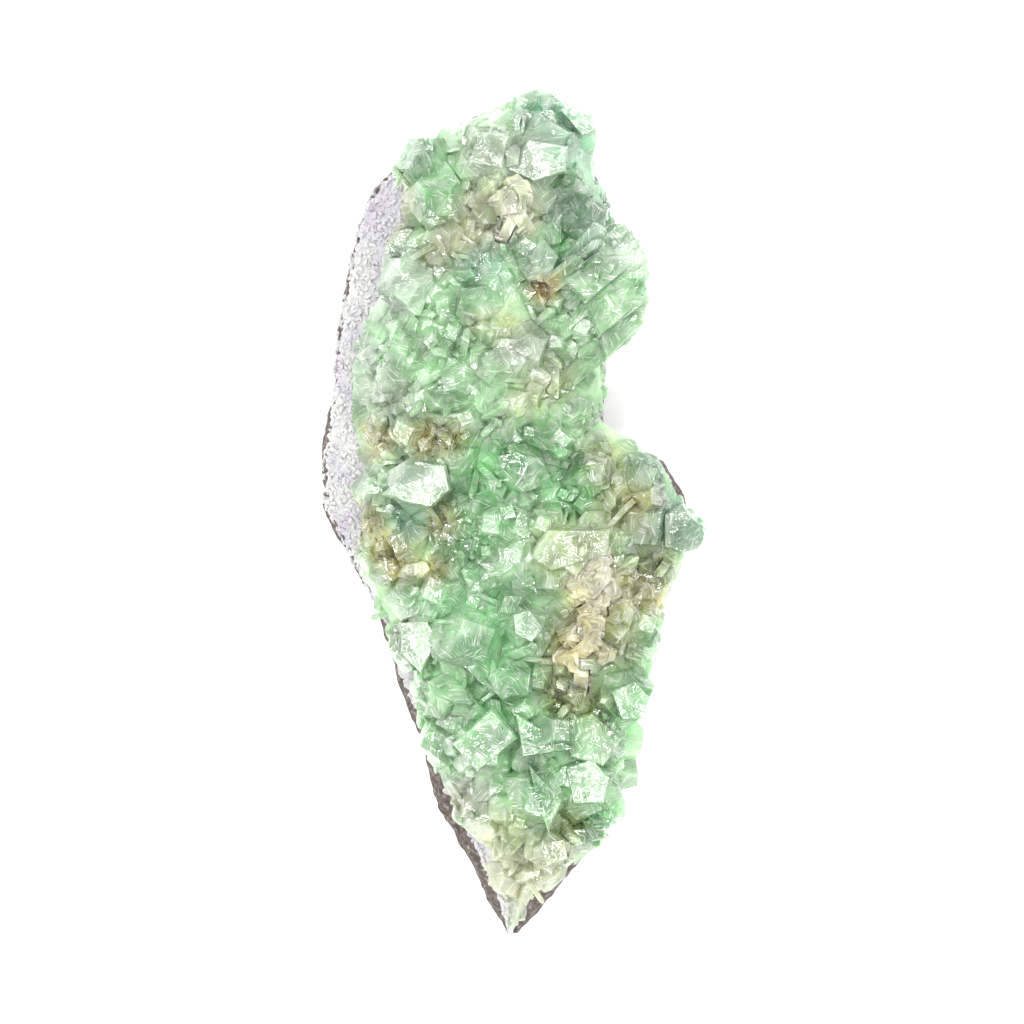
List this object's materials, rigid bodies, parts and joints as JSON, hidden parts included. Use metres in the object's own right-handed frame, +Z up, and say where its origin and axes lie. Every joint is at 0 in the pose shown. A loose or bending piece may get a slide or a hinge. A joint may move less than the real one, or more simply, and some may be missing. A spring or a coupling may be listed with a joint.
{
  "type": "apophyllite on heulandite mineral specimen",
  "caption": "Plate of mint-green apophyllite crystals on white and cream heulandite, on dark basalt.",
  "frame": {"origin": "under the middle of the whole plate, on the surface that its flat back rests on", "axes": "+Z up, out of the crystal field; +Y along the plate, towards its broad end; +X towards its side lobe"},
  "size_m": [0.0818, 0.18, 0.0409],
  "materials": {
    "basalt": "rough",
    "rind": "sugary",
    "apophyllite": "glassy",
    "heulandite": "pearly"
  },
  "bodies": {
    "root": {"basalt_matrix": "basalt", "heulandite_rind": "rind", "apophyllite_crust": "apophyllite", "heulandite_sheaf_right": "heulandite", "heulandite_sheaf_lower_right": "heulandite", "heulandite_sheaf_top": "heulandite"}
  },
  "joints": []
}
